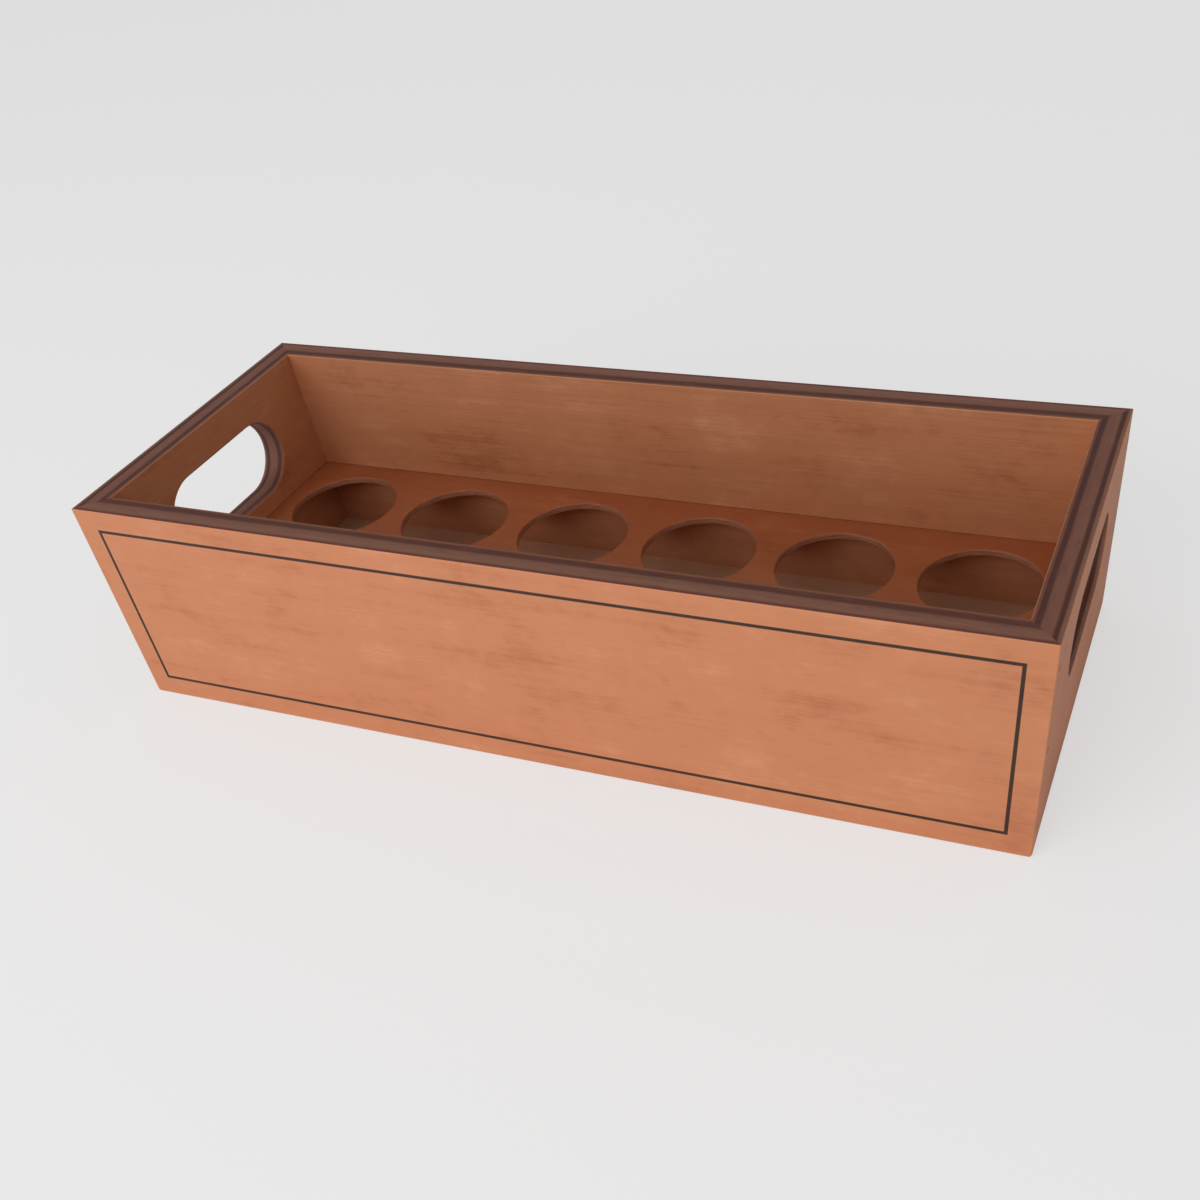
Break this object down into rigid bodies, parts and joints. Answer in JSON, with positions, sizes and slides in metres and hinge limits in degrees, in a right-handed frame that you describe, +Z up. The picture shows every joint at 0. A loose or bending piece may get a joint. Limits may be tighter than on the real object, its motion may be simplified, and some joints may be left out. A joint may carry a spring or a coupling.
{
  "type": "egg holder",
  "caption": "Open stained plywood box with two outward-leaning ends, hand slots, mitred corners, an inset bottom and a drilled egg tray.",
  "frame": {"origin": "middle of the face that the box stands on", "axes": "+X along the box towards the right end, -Y towards the printed front, +Z up"},
  "size_m": [0.33, 0.126, 0.0785],
  "materials": {
    "stained_front": "satin orange-brown stain with a thin black border line",
    "stained_walls": "satin reddish-brown stain, dark plies on the rim",
    "tray_ply": "satin orange-brown stain",
    "bottom_ply": "raw or thinly stained",
    "brad_steel": "dull"
  },
  "bodies": {
    "root": {"front_panel": "stained_front", "back_panel": "stained_walls", "left_end_panel": "stained_walls", "right_end_panel": "stained_walls", "bottom_board": "bottom_ply", "egg_tray": "tray_ply", "left_end_brads": "brad_steel", "right_end_brads": "brad_steel", "bottom_brads": "brad_steel"}
  },
  "joints": []
}
